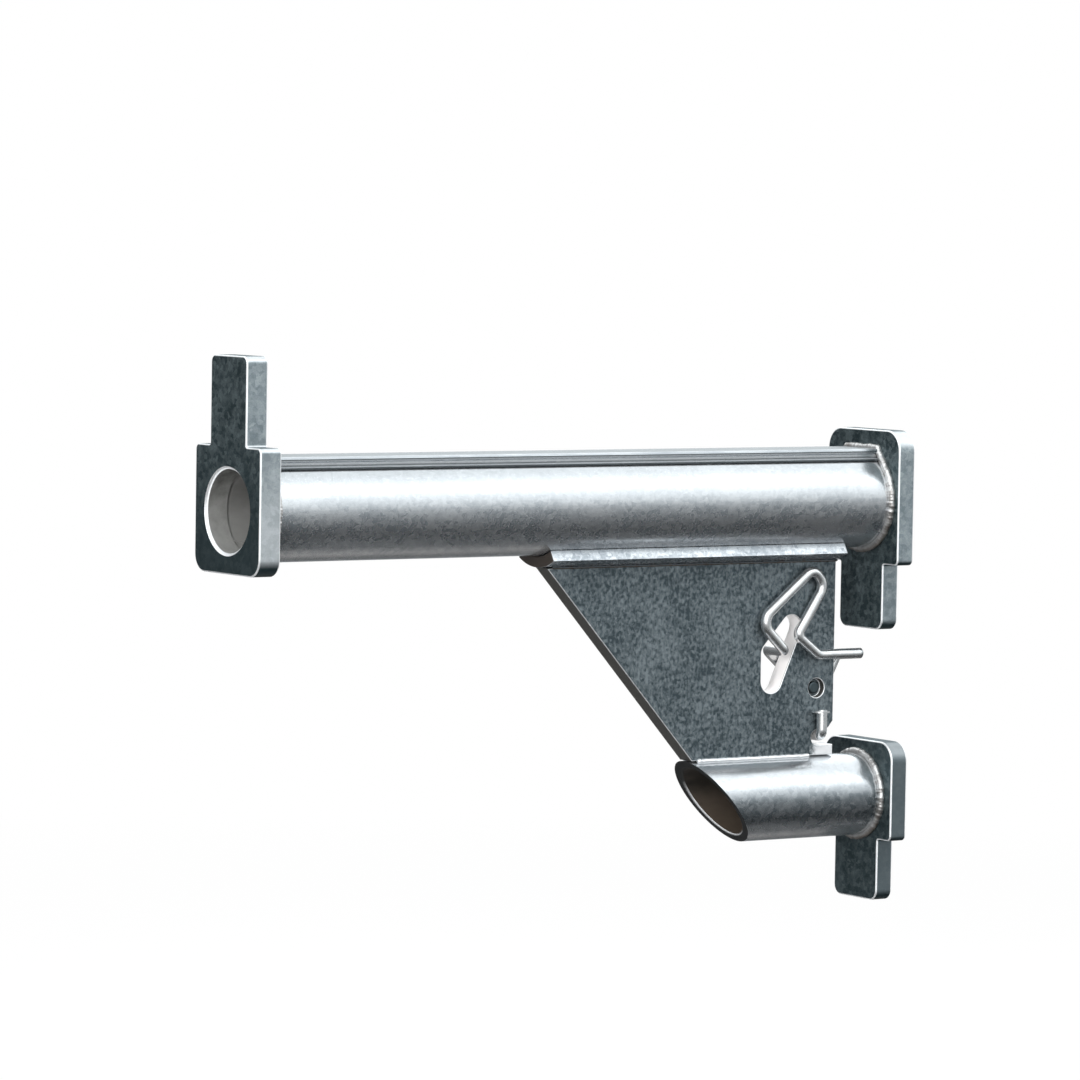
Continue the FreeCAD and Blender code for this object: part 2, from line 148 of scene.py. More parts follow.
class BracketFinishes(bpy.types.PropertyGroup):
    """Colours and grain of the zinc on each kind of piece, and the painted highlights and painted shade on
    them.
    """
    tube_light: colour_property("Tube light", "Bright zinc on the drawn tubes", (0.64, 0.66, 0.68))
    tube_dark: colour_property("Tube dark", "Dull spangles on the drawn tubes", (0.34, 0.37, 0.40))
    edge_light: colour_property("Edge light", "Zinc on the plates' cut edges", (0.36, 0.405, 0.425))
    edge_dark: colour_property("Edge dark", "Dull patches on the cut edges", (0.19, 0.23, 0.25))
    edge_low: colour_property("Lower edge", "Cut edges of the lower hook plate", (0.085, 0.108, 0.118))
    # A painted highlight, used on corners, edges, the heel and the foot welds.
    arris_highlight: colour_property("Arris", "Painted highlight along the plates' corners", (0.88, 0.89, 0.90))
    face_light: colour_property("Face light", "Pale bloom on the plates' rolled faces", (0.165, 0.205, 0.215))
    face_dark_and_shade: colour_property("Face dark", "Dark zinc and painted shade on the plates' rolled faces", (0.028, 0.047, 0.053))
    web_light: colour_property("Gusset light", "Pale specks on the gusset", (0.210, 0.245, 0.262))
    web_dark: colour_property("Gusset dark", "Dark specks on the gusset", (0.050, 0.068, 0.078))
    # Brownish zinc with painted shade, for a slope that faces down and for a recess.
    slant: colour_property("Slanting edge", "Brownish zinc and painted shade on the gusset's slope", (0.125, 0.120, 0.112))
    slot_wall_highlight: colour_property("Slot wall", "Painted highlight on the gusset's slot wall", (0.80, 0.78, 0.77))
    bare_inside: colour_property("Tube inside", "Dull grey in the main tube and bore", (0.41, 0.41, 0.395))
    # Brown inside the lower tube, made darker as painted shade.
    lower_inside_and_shade: colour_property("Lower tube inside", "Brown inside the lower tube", (0.19, 0.150, 0.115))
    saddle_end_shade: colour_property("Saddle end", "Painted shade, dark brown, on the saddle's cut ends", (0.045, 0.036, 0.030))
    # Painted shade, blue grey, over the lower tube's lower half.
    lower_tube_shade: colour_property("Lower tube", "Painted shade, blue grey, low on the lower tube", (0.12, 0.145, 0.16))
    # Painted shade on the lower tube's slanting end.
    cut_end_shade: colour_property("Cut end", "Painted shade on the lower tube's slanting end", (0.014, 0.015, 0.015))
    saddle_light: colour_property("Saddle light", "Pale zinc on the saddle", (0.58, 0.60, 0.62))
    rail_top: colour_property("Rail top", "Dull zinc on the rail's top", (0.30, 0.32, 0.33))
    rail_side_shade: colour_property("Rail side", "Painted shade on the rail's sides", (0.12, 0.135, 0.145))
    wire_colour: colour_property("Wire", "Bright zinc on the bent wires", (0.78, 0.78, 0.78))
    weld_colour: colour_property("Weld", "Zinc over the weld metal", (0.66, 0.65, 0.64))
    stain_and_shade: colour_property("Weld stain and shade", "Brownish stain on the weld, and painted shade on its underside", (0.13, 0.095, 0.07))
    spangle: length_property("Spangle", "Width of one zinc crystal", 2.6 * MM)


class BracketWelds(bpy.types.PropertyGroup):
    """Sizes of the weld beads."""
    ring_leg: length_property("Ring leg", "Leg of the welds round the tubes", 3.9 * MM)
    foot_leg: length_property("Foot leg", "Leg of the welds between gusset and lower tube", 2.5 * MM)
    saddle_leg: length_property("Saddle leg", "Leg of the welds between gusset and saddle", 1.3 * MM)
    ripple: length_property("Ripple", "Distance from one weld ripple to the next", 1.7 * MM)


class BracketStudio(bpy.types.PropertyGroup):
    """Where the camera and the light stand."""
    azimuth: FloatProperty(name="Azimuth", description="Turn of the view from the tube's line",
                           default=math.radians(56.2), subtype="ANGLE", unit="ROTATION")
    elevation: FloatProperty(name="Elevation", description="Height of the view above the horizon",
                             default=math.radians(4.0), subtype="ANGLE", unit="ROTATION")
    roll: FloatProperty(name="Roll", description="Tilt of the camera about its own line",
                        default=math.radians(0.96), subtype="ANGLE", unit="ROTATION")
    distance: length_property("Distance", "From the camera to the point it looks at", 3.2206)
    lens: FloatProperty(name="Lens", description="Focal length on a 36 mm sensor", default=190.5, min=1.0,
                        subtype="DISTANCE_CAMERA")
    floor_drop: length_property("Floor drop", "From the lowest tab down to the floor", 0.22)
    fade: length_property("Fade", "Distance at which the floor is plain white", 2.4)
    lamp_power: FloatProperty(name="Lamp power", description="Strength of the main lamp", default=34.0,
                              min=0.0, subtype="POWER", unit="POWER")


class Strand:
    """One output in a finish's node tree, which takes part in sums."""

    def __init__(self, finish, socket):
        self.finish = finish
        self.socket = socket

    def maths(self, operation, first, second):
        return self.finish.node("ShaderNodeMath", {"operation": operation}, {0: first, 1: second})

    def __add__(self, other):
        return self.maths("ADD", self, other)

    __radd__ = __add__

    def __sub__(self, other):
        return self.maths("SUBTRACT", self, other)

    def __rsub__(self, other):
        return self.maths("SUBTRACT", other, self)

    def __mul__(self, other):
        return self.maths("MULTIPLY", self, other)

    __rmul__ = __mul__

    def __gt__(self, other):
        return self.maths("GREATER_THAN", self, other)

    def __lt__(self, other):
        return self.maths("LESS_THAN", self, other)

    def __pow__(self, other):
        return self.maths("POWER", self, other)

    def __abs__(self):
        return self.maths("ABSOLUTE", self, 0.0)


class Finish:
    """A node tree that is filled from expressions."""

    def __init__(self, tree):
        self.tree = tree
        tree.nodes.clear()

    def node(self, kind, settings=None, sockets=None, out=0):
        """Adds one node: its settings first, then the values or links of its sockets."""
        made = self.tree.nodes.new(kind)
        for key, value in (settings or {}).items():
            if key == "stops":
                self.stops(made.color_ramp, value)
            else:
                setattr(made, key, value)
        for key, value in (sockets or {}).items():
            if isinstance(value, Strand):
                self.tree.links.new(value.socket, made.inputs[key])
            else:
                made.inputs[key].default_value = value
        return Strand(self, made.outputs[out]) if len(made.outputs) else made

    @staticmethod
    def stops(ramp, stops):
        while len(ramp.elements) < len(stops):
            ramp.elements.new(0.5)
        for element, (place, tone) in zip(ramp.elements, stops):
            element.position = place
            element.color = (*tone, 1.0) if isinstance(tone, tuple) else (tone, tone, tone, 1.0)

    def ramp(self, value, *stops):
        return self.node("ShaderNodeValToRGB", {"stops": stops}, {"Fac": value})

    def fade(self, value, start, end):
        """0 up to start, 1 from end on, and an even rise between; end may be the smaller of the two."""
        return self.node("ShaderNodeMapRange", None, {"Value": value, "From Min": start, "From Max": end})

    def mix(self, amount, first, second):
        """Mixes two colours, given as colours or as strands."""
        return self.node("ShaderNodeMix", {"data_type": "RGBA"},
                         {0: amount, 6: self.rgba(first), 7: self.rgba(second)}, out=2)

    @staticmethod
    def rgba(tone):
        return tone if isinstance(tone, Strand) else (*tone[:3], 1.0)

    def coordinate(self, kind="Object"):
        """By kind: the place on the piece, its Normal or, in the surround, the direction one looks in."""
        return self.node("ShaderNodeTexCoord", out=kind)

    def parts(self, vector):
        """X, Y and Z of a place or a direction."""
        split = self.node("ShaderNodeSeparateXYZ", None, {0: vector}).socket.node
        return [Strand(self, output) for output in split.outputs]

    def vector_maths(self, operation, first, second):
        """One number from two vectors, such as their distance."""
        return self.node("ShaderNodeVectorMath", {"operation": operation}, {0: first, 1: tuple(second)},
                         out="Value")

    def noise(self, place, feature, detail=2.0, stretch=None):
        """Noise with patches about as wide as feature, in metres; stretch lengthens them along X, Y, Z."""
        if stretch:
            place = self.node("ShaderNodeMapping", None,
                              {"Vector": place, "Scale": tuple(1.0 / s for s in stretch)})
        sockets = {"Vector": place, "Scale": 1.0 / feature, "Detail": detail, "Roughness": 0.6}
        return self.node("ShaderNodeTexNoise", None, sockets, out="Fac")

    def crystals(self, place, width):
        """Tone of each zinc crystal, one value over the whole of it."""
        stray = self.node("ShaderNodeTexNoise", None, {"Vector": place, "Scale": 1.0 / width, "Detail": 2.0},
                          out="Color")
        bent = self.node("ShaderNodeVectorMath", {"operation": "MULTIPLY_ADD"},
                         {0: stray, 1: (width, width, width), 2: place})
        cells = self.node("ShaderNodeTexVoronoi", None, {"Vector": bent, "Scale": 1.0 / width}, out="Color")
        return self.node("ShaderNodeSeparateColor", None, {0: cells})


def new_finish(name):
    material = bpy.data.materials.new(name)
    material.use_nodes = True
    return material, Finish(material.node_tree)


def close_finish(finish, colour, roughness, metallic, height, depth):
    """Ends a finish from its colour, roughness and metallic share; height is a relief of that depth."""
    relief = finish.node("ShaderNodeBump", None, {"Height": height, "Strength": 1.0, "Distance": depth},
                         out="Normal")
    sockets = {"Base Color": colour, "Roughness": roughness, "Metallic": metallic, "Normal": relief}
    surface = finish.node("ShaderNodeBsdfPrincipled", None, sockets)
    finish.node("ShaderNodeOutputMaterial", None, {"Surface": surface})


def flat_share(finish, axis):
    """1 on a plate's flat faces, which lie across the axis, and 0 on its corners and edges."""
    return finish.fade(abs(finish.parts(finish.coordinate("Normal"))[axis]), 0.90, 0.985)


def cut_share(finish, axis):
    """1 on a plate's cut edges, which lie along the axis, and 0 on its corners and faces."""
    return finish.fade(abs(finish.parts(finish.coordinate("Normal"))[axis]), 0.30, 0.10)


def end_share(finish):
    """1 on a tube's or saddle's end that looks away from the standard, slanting ones too."""
    return finish.fade(finish.parts(finish.coordinate("Normal"))[0], -0.25, -0.45)


def drawn_grain(finish, place, spangle):
    """Grain of drawn zinc: crystals, streaks along X, clouds, grit, and how dull they make it together."""
    crystal = finish.crystals(place, spangle)
    streak = finish.noise(place, 1.0 * MM, 3.0, stretch=(22.0, 1.0, 1.0))
    cloud = finish.noise(place, 16 * MM, 4.0, stretch=(2.4, 1.0, 1.0))
    grit = finish.noise(place, 1.3 * MM, 3.0)
    dull = finish.fade(cloud * 0.50 + crystal * 0.18 + streak * 0.16 + grit * 0.26, 0.45, 0.67)
    return crystal, streak, cloud, grit, dull


def close_drawn(finish, colour, crystal, streak, grit, dull, shine):
    """Ends a drawn finish: bright zinc where shine is 1, bare and dull where it is 0."""
    rough = (0.15 + dull * 0.13 + grit * 0.08) * shine + (1 - shine) * 0.6
    relief = crystal * 0.25 + streak * 0.25 + grit * 0.5
    close_finish(finish, colour, rough, shine * 0.72 + 0.2, relief, 0.05 * MM)


def zinc_saddle(name, settings):
    """Pressed plate in drawn zinc, with dark brown painted shade on its cut ends."""
    material, finish = new_finish(name)
    crystal, streak, _, grit, dull = drawn_grain(finish, finish.coordinate(), settings.spangle)
    end = end_share(finish)
    # The cut ends facing away from the standard are painted shade.
    colour = finish.mix(end, finish.mix(dull, settings.saddle_light, settings.tube_dark), settings.saddle_end_shade)
    close_drawn(finish, colour, crystal, streak, grit, dull, 1 - end)
    return material


def zinc_tube(name, settings, axis_z, inner, bare, top_shade_share, shade):
    """Drawn tube, with dull clouds mostly below its axis, partly grain and partly painted shade. Within the
    inner radius it is bare, with painted shade towards the top as strong as the share given. Its slanting end
    is painted shade with a painted highlight along its lower inner edge. A shade, if one is given, is painted
    shade over its lower half."""
    material, finish = new_finish(name)
    place = finish.coordinate()
    crystal, streak, cloud, grit, dull = drawn_grain(finish, place, settings.spangle)
    across, height = finish.parts(place)[1:]
    height = height - axis_z
    radius = (across * across + height * height) ** 0.5
    level = height * (0.5 / inner) + 0.5
    # Dull clouds weighted by height: partly grain, partly painted shade below the axis.
    dull = dull * finish.ramp(level, *TUBE_CLOUDS_AND_SHADE)
    colour = finish.mix(dull, settings.tube_light, settings.tube_dark)
    # Painted shade over the lower half, with the crystals showing through.
    if shade:
        colour = finish.mix(finish.ramp(level, *LOW_SHADE) * (crystal * 0.4 + 0.8), colour, shade)
    # Painted shade towards the top of the inside, mottled by the clouds.
    top_shade = finish.fade(level, 0.0, 0.7) * top_shade_share + (cloud - 0.5) * 0.5
    skin = radius > inner
    colour = finish.mix(skin, finish.mix(top_shade, bare, TOP_SHADE), colour)
    # Ends facing away from the standard are painted shade, with a painted highlight along the lower inner
    # edge.
    end = end_share(finish)
    rim = finish.fade(radius - inner, -RIM / 2, -RIM) * finish.fade(level, 0.75, 0.45)
    colour = finish.mix(end, colour, finish.mix(rim, settings.cut_end_shade, settings.arris_highlight))
    close_drawn(finish, colour, crystal, streak, grit, dull, skin * (1 - end))
    return material


def zinc_rail(name, settings, top_z):
    """Flat bar: streaked along X, dull on its top, its sides in painted shade with a painted highlight line
    halfway down.
    """
    material, finish = new_finish(name)
    place = finish.coordinate()
    streak = finish.noise(place, 1.2 * MM, 3.0, stretch=(22.0, 1.0, 1.0))
    cloud = finish.noise(place, 12 * MM, 3.0, stretch=(3.0, 1.0, 1.0))
    dull = finish.fade(streak * 0.5 + cloud * 0.5, 0.38, 0.68)
    colour = finish.mix(dull, settings.tube_light, settings.tube_dark)
    depth = top_z - finish.parts(place)[2]
    # A painted highlight line halfway down the painted shade of the sides.
    line = finish.fade(depth, 1.6 * MM, 2.72 * MM) * finish.fade(depth, 5.12 * MM, 4.16 * MM)
    side = flat_share(finish, 1)
    top = flat_share(finish, 2)
    colour = finish.mix(side, colour, finish.mix(line, settings.rail_side_shade, settings.tube_light))
    colour = finish.mix(top, colour, settings.rail_top)
    close_finish(finish, colour, 0.22 + dull * 0.12 + top * 0.36, 0.9 - top * 0.4, streak, 0.04 * MM)
    return material


def zinc_plate(name, settings):
    """Flame-cut plate: dark rolled faces across X, partly painted shade, paler cut edges with faint cutting
    lines, and painted highlights on the corners. Edges that face up get a painted highlight and undersides
    painted shade;
    lower down, faces and edges are darker, and the outer plate's low face gets painted shade and its edges
    some painted highlight. The bore's wall is bare with painted shade above."""
    material, finish = new_finish(name)
    place = finish.coordinate()
    along, across, height = finish.parts(place)
    upward = finish.parts(finish.coordinate("Normal"))[2]
    flat = flat_share(finish, 0)
    cut = cut_share(finish, 0)
    crystal = finish.crystals(place, settings.spangle)
    cloud = finish.noise(place, 8 * MM, 4.0)
    grit = finish.noise(place, 0.9 * MM, 3.0)
    lines = finish.noise(place, 0.8 * MM, 1.0, stretch=(20.0, 1.0, 1.0))
    bloom = finish.fade(cloud * 0.46 + crystal * 0.20 + grit * 0.34, 0.38, 0.68)

    # Lower down, faces and edges are darker.
    low = finish.fade(height, -40 * MM, -150 * MM)
    # Painted shade on the outer plate's low face, and some painted highlight on its edges.
    outer = finish.fade(along, -350 * MM, -400 * MM) * finish.fade(height, 40 * MM, -10 * MM)
    face = finish.mix(bloom, settings.face_dark_and_shade, settings.face_light)
    face = finish.mix(low * 0.30 + outer * 0.75, face, settings.face_dark_and_shade)

    upward_highlight = finish.ramp(upward, *UPWARD_HIGHLIGHT)
    crown = finish.fade(upward, *CROWN)
    edge = finish.mix(bloom, settings.edge_dark, settings.edge_light)
    edge = finish.mix(low * 0.85, edge, settings.edge_low)
    edge = finish.mix(outer * 0.3, edge, settings.arris_highlight)
    # Painted highlight on edges that face up, weaker lower down; painted shade on undersides.
    edge = finish.mix(upward_highlight * (1 - low * 0.7), edge, settings.arris_highlight)
    edge = finish.mix(finish.fade(upward, -0.10, -0.50), edge, settings.face_dark_and_shade)
    edge = finish.mix(crown, edge, settings.edge_low)

    # The bore's wall: bare, with painted shade towards its top, mottled by the clouds.
    axial = (across * across + height * height) ** 0.5
    bore = (along < -OUTER_SIDE) * (1 - flat) * finish.fade(axial, BORE + 0.8 * MM, BORE + 0.3 * MM)
    bore_top_shade = finish.fade(height, -20 * MM, 15 * MM) * 0.76 + (cloud - 0.5) * 0.7
    edge = finish.mix(bore, edge, finish.mix(bore_top_shade, settings.bare_inside, BORE_TOP_SHADE))

    # Rounded corners between face and edge get the painted highlight.
    colour = finish.mix(flat, finish.mix(cut, settings.arris_highlight, edge), face)
    rough = 0.32 + grit * 0.14 + bore * 0.25 + crown * 0.35
    metallic = 0.72 - bore * 0.5 - crown * 0.4
    close_finish(finish, colour, rough, metallic, cloud * 0.3 + lines * cut * 0.4 + grit * 0.4, 0.10 * MM)
    return material


def zinc_web(name, settings, low):
    """Gusset plate: even blue grey with fine pale and dark specks and painted highlights on its corners. Its
    slot wall and the heel below the notch have a painted highlight, and the slanting edge and the pivot's
    recess are brownish with painted shade. Low is the low corner of its box."""
    material, finish = new_finish(name)
    place = finish.coordinate()
    along, _, height = finish.parts(place)
    squareness = abs(finish.parts(finish.coordinate("Normal"))[1])
    flat = flat_share(finish, 1)
    cut = cut_share(finish, 1)
    crystal = finish.crystals(place, settings.spangle * 0.7)
    speck = finish.noise(place, 2.0 * MM, 5.0, stretch=(1.0, 1.0, 1.6))
    cloud = finish.noise(place, 30 * MM, 3.0)
    tone = finish.fade(speck * 0.66 + crystal * 0.14 + cloud * 0.24, 0.42, 0.64)

    # The slope faces down and the pivot's recess is deep: both are brownish with painted shade.
    sloping = finish.fade(along, -104 * MM, -116 * MM)
    from_pivot = finish.vector_maths("DISTANCE", place, (PIVOT[0], low.y, PIVOT[1]))
    recess = finish.fade(from_pivot, 8.4 * MM, 7.2 * MM)
    inward = along < -NOTCH_SIDE
    edge = finish.mix(tone, settings.edge_dark, settings.edge_light)
    # Cut edges towards the slot get a painted highlight.
    edge = finish.mix(inward, edge, settings.slot_wall_highlight)
    edge = finish.mix(sloping + recess, edge, settings.slant)
    # Rounded corners: painted shade where they turn to the edge, painted highlight where they meet the face.
    corner = finish.mix(finish.fade(squareness, 0.45, 0.60), settings.slant, settings.arris_highlight)
    face = finish.mix(tone, settings.web_dark, settings.web_light)
    colour = finish.mix(flat, finish.mix(cut, corner, edge), face)

    # A ragged painted highlight on the heel below the notch.
    ragged = height + cloud * (2 * MM) + speck * (3 * MM)
    heel = finish.fade(along + speck * (10 * MM), -45.5 * MM, -41.5 * MM) * 0.8
    heel = heel * finish.fade(ragged, low.z + 9.2 * MM, low.z + 7.4 * MM)
    colour = finish.mix(heel, colour, settings.arris_highlight)

    wall = cut * inward * (1 - sloping) * (1 - recess) * (1 - heel) + heel * 0.7
    close_finish(finish, colour, 0.40 + speck * 0.12, 0.75 - wall * 0.75, speck * 0.6 + crystal * 0.2,
                 0.08 * MM)
    return material


def bright_wire(name, settings, pivot=None):
    """Round bar in bright zinc, with faint drawing marks and dull rubs; where a pivot is given, painted shade
    round the pivot, where the head sits deep in its recess, and darker at the free tip."""
    material, finish = new_finish(name)
    place = finish.coordinate()
    rub = finish.noise(place, 6 * MM, 3.0)
    grit = finish.noise(place, 0.5 * MM, 2.0)
    dull = finish.fade(rub, 0.42, 0.68)
    colour = finish.mix(dull * 0.35, settings.wire_colour, settings.tube_dark)
    rough = 0.16 + dull * 0.10 + grit * 0.04
    if pivot:
        # Painted shade on the head in the pivot's recess; the free tip is darker too.
        head = finish.fade(finish.vector_maths("DISTANCE", place, pivot), 9 * MM, 7 * MM)
        tip = finish.fade(finish.parts(place)[0], -20 * MM, -18.4 * MM) * 0.8
        colour = finish.mix(head + tip, colour, settings.edge_low)
        rough = rough + head * 0.25
    close_finish(finish, colour, rough, 0.95, rub * 0.4 + grit * 0.2, 0.02 * MM)
    return material


def weld_metal(name, settings, stained, tone=None):
    """Weld bead under zinc, with brown patches and a brown painted shade on its underside, both as strong as
    stained.
    """
    material, finish = new_finish(name)
    place = finish.coordinate()
    patch = finish.noise(place, 7 * MM, 3.0)
    grit = finish.noise(place, 0.8 * MM, 3.0)
    stain = finish.fade(patch * 0.8 + grit * 0.2, 0.50, 0.72)
    # Painted shade: the underside turns brown.
    under = finish.fade(finish.parts(finish.coordinate("Normal"))[2], 0.0, -0.6)
    colour = finish.mix(stain * stained, tone or settings.weld_colour, settings.stain_and_shade)
    colour = finish.mix(under * stained, colour, settings.stain_and_shade)
    close_finish(finish, colour, 0.26 + grit * 0.16, 0.85, grit, 0.10 * MM)
    return material


def dress(names, material):
    for name in names:
        nodes[name].data.materials.clear()
        nodes[name].data.materials.append(material)


def alone():
    bpy.ops.object.select_all(action="DESELECT")


def weld_scale(leg, ripple):
    """One ripple of a weld bead: a fat lens at the origin, thin along Y."""
    radius = leg * RIPPLE_RADIUS
    alone()
    bpy.ops.mesh.primitive_uv_sphere_add(segments=18, ring_count=12, radius=radius)
    scale = bpy.context.object
    bpy.ops.object.mode_set(mode="EDIT")
    bpy.ops.mesh.select_all(action="SELECT")
    bpy.ops.transform.resize(value=(1.0, ripple * RIPPLE_OVERLAP / radius, 1.0))
    bpy.ops.object.mode_set(mode="OBJECT")
    return scale


def lay_bead(name, stops, leg, ripple, voxel, seed):
    """Copies one ripple to every stop, a place and the direction of travel there, and melts them together."""
    chance = random.Random(seed)
    first = weld_scale(leg, ripple)
    copies = []
    for spot, travel in stops:
        piece = first.copy()
        piece.data = first.data.copy()
        bpy.context.scene.collection.objects.link(piece)
        size = chance.uniform(*RIPPLE_SIZES)
        wander = Vector((chance.uniform(-1, 1), chance.uniform(-1, 1), chance.uniform(-1, 1)))
        turn = travel.to_track_quat("Y", "Z").to_matrix().to_4x4()
        place = Matrix.Translation(spot + wander * leg * RIPPLE_WANDER)
        piece.data.transform(place @ turn @ Matrix.Scale(size, 4))
        copies.append(piece)
    bpy.data.objects.remove(first)
    alone()
    for piece in copies:
        piece.select_set(True)
    bpy.context.view_layer.objects.active = copies[0]
    bpy.ops.object.join()
    bead = bpy.context.object
    bead.name = name
    bead.data.name = name
    melt = bead.modifiers.new("melt", "REMESH")
    melt.mode = "VOXEL"
    melt.voxel_size = voxel
    bpy.ops.object.modifier_apply(modifier=melt.name)
    flow = bead.modifiers.new("flow", "SMOOTH")
    flow.iterations = 2
    flow.factor = 0.5
    bpy.ops.object.modifier_apply(modifier=flow.name)
    bpy.ops.object.shade_smooth()
    return bead


def finish_bead(bead, node, material):
    bead.data.materials.clear()
    bead.data.materials.append(material)
    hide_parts(node)
    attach(bead, FIXED_BODY)


def arc_stops(x, axis_z, radius, start, end, ripple):
    """Stops round a tube, angles from the top; start to end goes by way of the underside."""
    count = round(abs(end - start) * radius / ripple)
    stops = []
    for i in range(count + 1):
        angle = start + (end - start) * i / count
        spot = Vector((x, -radius * math.sin(angle), axis_z + radius * math.cos(angle)))
        travel = Vector((0.0, -math.cos(angle), -math.sin(angle)))
        stops.append((spot, travel))
    return stops


def line_stops(start, end, ripple):
    """Stops along a straight run."""
    run = end - start
    count = max(1, round(run.length / ripple))
    return [(start + run * (i / count), run.normalized()) for i in range(count + 1)]


class BRACKET_OT_finish_tubes(bpy.types.Operator):
    """Gives the two tubes, the rail and the saddle their drawn zinc finish"""
    bl_idname = "bracket.finish_tubes"
    bl_label = "Finish the tubes"

    def execute(self, context):
        settings = context.scene.bracket_finishes
        insides = ((settings.bare_inside, None), (settings.lower_inside_and_shade, settings.lower_tube_shade))
        for name, (bare, shade) in zip(TUBES, insides):
            low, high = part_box(name)
            inner = (high.z - low.z) / 2 - WALL_MIDDLE
            axis_z = (low.z + high.z) / 2
            dress((name,), zinc_tube(name + "_zinc", settings, axis_z, inner, bare, TOP_SHADE_SHARE[name], shade))
        dress(("top_rail",), zinc_rail("rail_zinc", settings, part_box("top_rail")[1].z))
        dress(("tube_saddle",), zinc_saddle("saddle_zinc", settings))
        return {"FINISHED"}


class BRACKET_OT_finish_plates(bpy.types.Operator):
    """Gives the three end plates their dark faces and pale cut edges"""
    bl_idname = "bracket.finish_plates"
    bl_label = "Finish the end plates"

    def execute(self, context):
        dress(PLATES, zinc_plate("plate_zinc", context.scene.bracket_finishes))
        return {"FINISHED"}


class BRACKET_OT_finish_gusset(bpy.types.Operator):
    """Gives the gusset its speckled blue grey finish"""
    bl_idname = "bracket.finish_gusset"
    bl_label = "Finish the gusset"

    def execute(self, context):
        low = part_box("gusset_plate")[0]
        dress(("gusset_plate",), zinc_web("gusset_zinc", context.scene.bracket_finishes, low))
        return {"FINISHED"}


class BRACKET_OT_finish_wires(bpy.types.Operator):
    """Gives the latch and the keeper their bright zinc finish"""
    bl_idname = "bracket.finish_wires"
    bl_label = "Finish the wires"

    def execute(self, context):
        settings = context.scene.bracket_finishes
        pivot = (PIVOT[0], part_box("gusset_plate")[0].y, PIVOT[1])
        dress(("latch_wire",), bright_wire("latch_zinc", settings, pivot))
        dress(("keeper_wire", "keeper_weld"), bright_wire("keeper_zinc", settings))
        return {"FINISHED"}


class BRACKET_OT_lay_ring_welds(bpy.types.Operator):
    """Lays the rippled beads round the tubes at the three end plates"""
    bl_idname = "bracket.lay_ring_welds"
    bl_label = "Lay the ring welds"

    def execute(self, context):
        welds = context.scene.bracket_welds
        leg, ripple = welds.ring_leg, welds.ripple
        sunk = leg * BEAD_SINK
        material = weld_metal("ring_weld_zinc", context.scene.bracket_finishes, 0.7)
        tube_low, tube_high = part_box("main_tube")
        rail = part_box("top_rail")[1]

        opening = math.asin(rail.y / tube_high.z) + ripple / tube_high.z
        stops = arc_stops(tube_low.x + sunk, 0.0, tube_high.z + sunk, opening, 2 * math.pi - opening, ripple)
        bead = lay_bead("outer_plate_bead", stops, leg, ripple, RING_VOXEL, 3)
        finish_bead(bead, "weld_outer_plate", material)

        hook_x = tube_high.x - sunk
        stops = self.hook_stops(hook_x, tube_high.z + sunk, rail, leg, ripple)
        bead = lay_bead("upper_hook_bead", stops, leg * UPPER_HOOK_LEG, ripple, RING_VOXEL, 7)
        finish_bead(bead, "weld_upper_hook", material)

        low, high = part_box("lower_tube")
        axis_z = (low.z + high.z) / 2
        radius = (high.z - low.z) / 2
        stops = arc_stops(hook_x, axis_z, radius + sunk, 0.0, 2 * math.pi, ripple)
        bead = lay_bead("lower_hook_bead", stops, leg * LOWER_HOOK_LEG, ripple, RING_VOXEL, 11)
        finish_bead(bead, "weld_lower_hook", material)
        return {"FINISHED"}

    @staticmethod
    def hook_stops(x, radius, rail, leg, ripple):
        """Stops round the main tube, up both sides of the rail and across its top."""
        stops = arc_stops(x, 0.0, radius, HOOK_TURN, 2 * math.pi - HOOK_TURN, ripple)
        sunk = leg * BEAD_SINK
        side = rail.y - leg * 0.95
        top = rail.z + sunk * 0.3
        for way in (-1, 1):
            joint = Vector((x, way * radius * math.sin(HOOK_TURN), radius * math.cos(HOOK_TURN)))
            corner = Vector((x, way * (rail.y + sunk * 0.2), rail.z - leg * 1.4))
            stops += line_stops(joint, corner, ripple)
            stops += line_stops(corner, Vector((x, way * side, top)), ripple)
        stops += line_stops(Vector((x, -side, top)), Vector((x, side, top)), ripple)
        return stops


class BRACKET_OT_lay_gusset_welds(bpy.types.Operator):
    """Lays the straight beads that join the gusset to the saddle and to the lower tube"""
    bl_idname = "bracket.lay_gusset_welds"
    bl_label = "Lay the gusset welds"

    def execute(self, context):
        welds = context.scene.bracket_welds
        ripple = welds.ripple * GUSSET_RIPPLE
        settings = context.scene.bracket_finishes
        # The foot welds take the painted highlight colour; the saddle welds take the rail's painted shade, a
        # dark bead along the shadow line under the saddle.
        bright = weld_metal("foot_weld_highlight", settings, 0.1, settings.arris_highlight)
        dull = weld_metal("saddle_weld_shade", settings, 1.0, settings.rail_side_shade)
        web_low, web_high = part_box("gusset_plate")
        runs = {"weld_saddle_front": (-1, web_high.z, -1, welds.saddle_leg, dull),
                "weld_saddle_back": (1, web_high.z, -1, welds.saddle_leg, dull),
                "weld_gusset_front": (-1, web_low.z, 1, welds.foot_leg, bright),
                "weld_gusset_back": (1, web_low.z, 1, welds.foot_leg, bright)}
        for seed, (node, (side, level, way, leg, material)) in enumerate(runs.items()):
            low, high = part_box(node)
            y = side * (web_high.y + leg * 0.25)
            z = level - leg * 0.1 if way > 0 else level + leg * 0.2
            start = Vector((low.x + leg * 0.4, y, z))
            end = Vector((high.x - leg * 0.4, y, z))
            bead = lay_bead(node.replace("weld_", "") + "_bead", line_stops(start, end, ripple), leg, ripple,
                            FOOT_VOXEL, 20 + seed)
            finish_bead(bead, node, material)
        return {"FINISHED"}


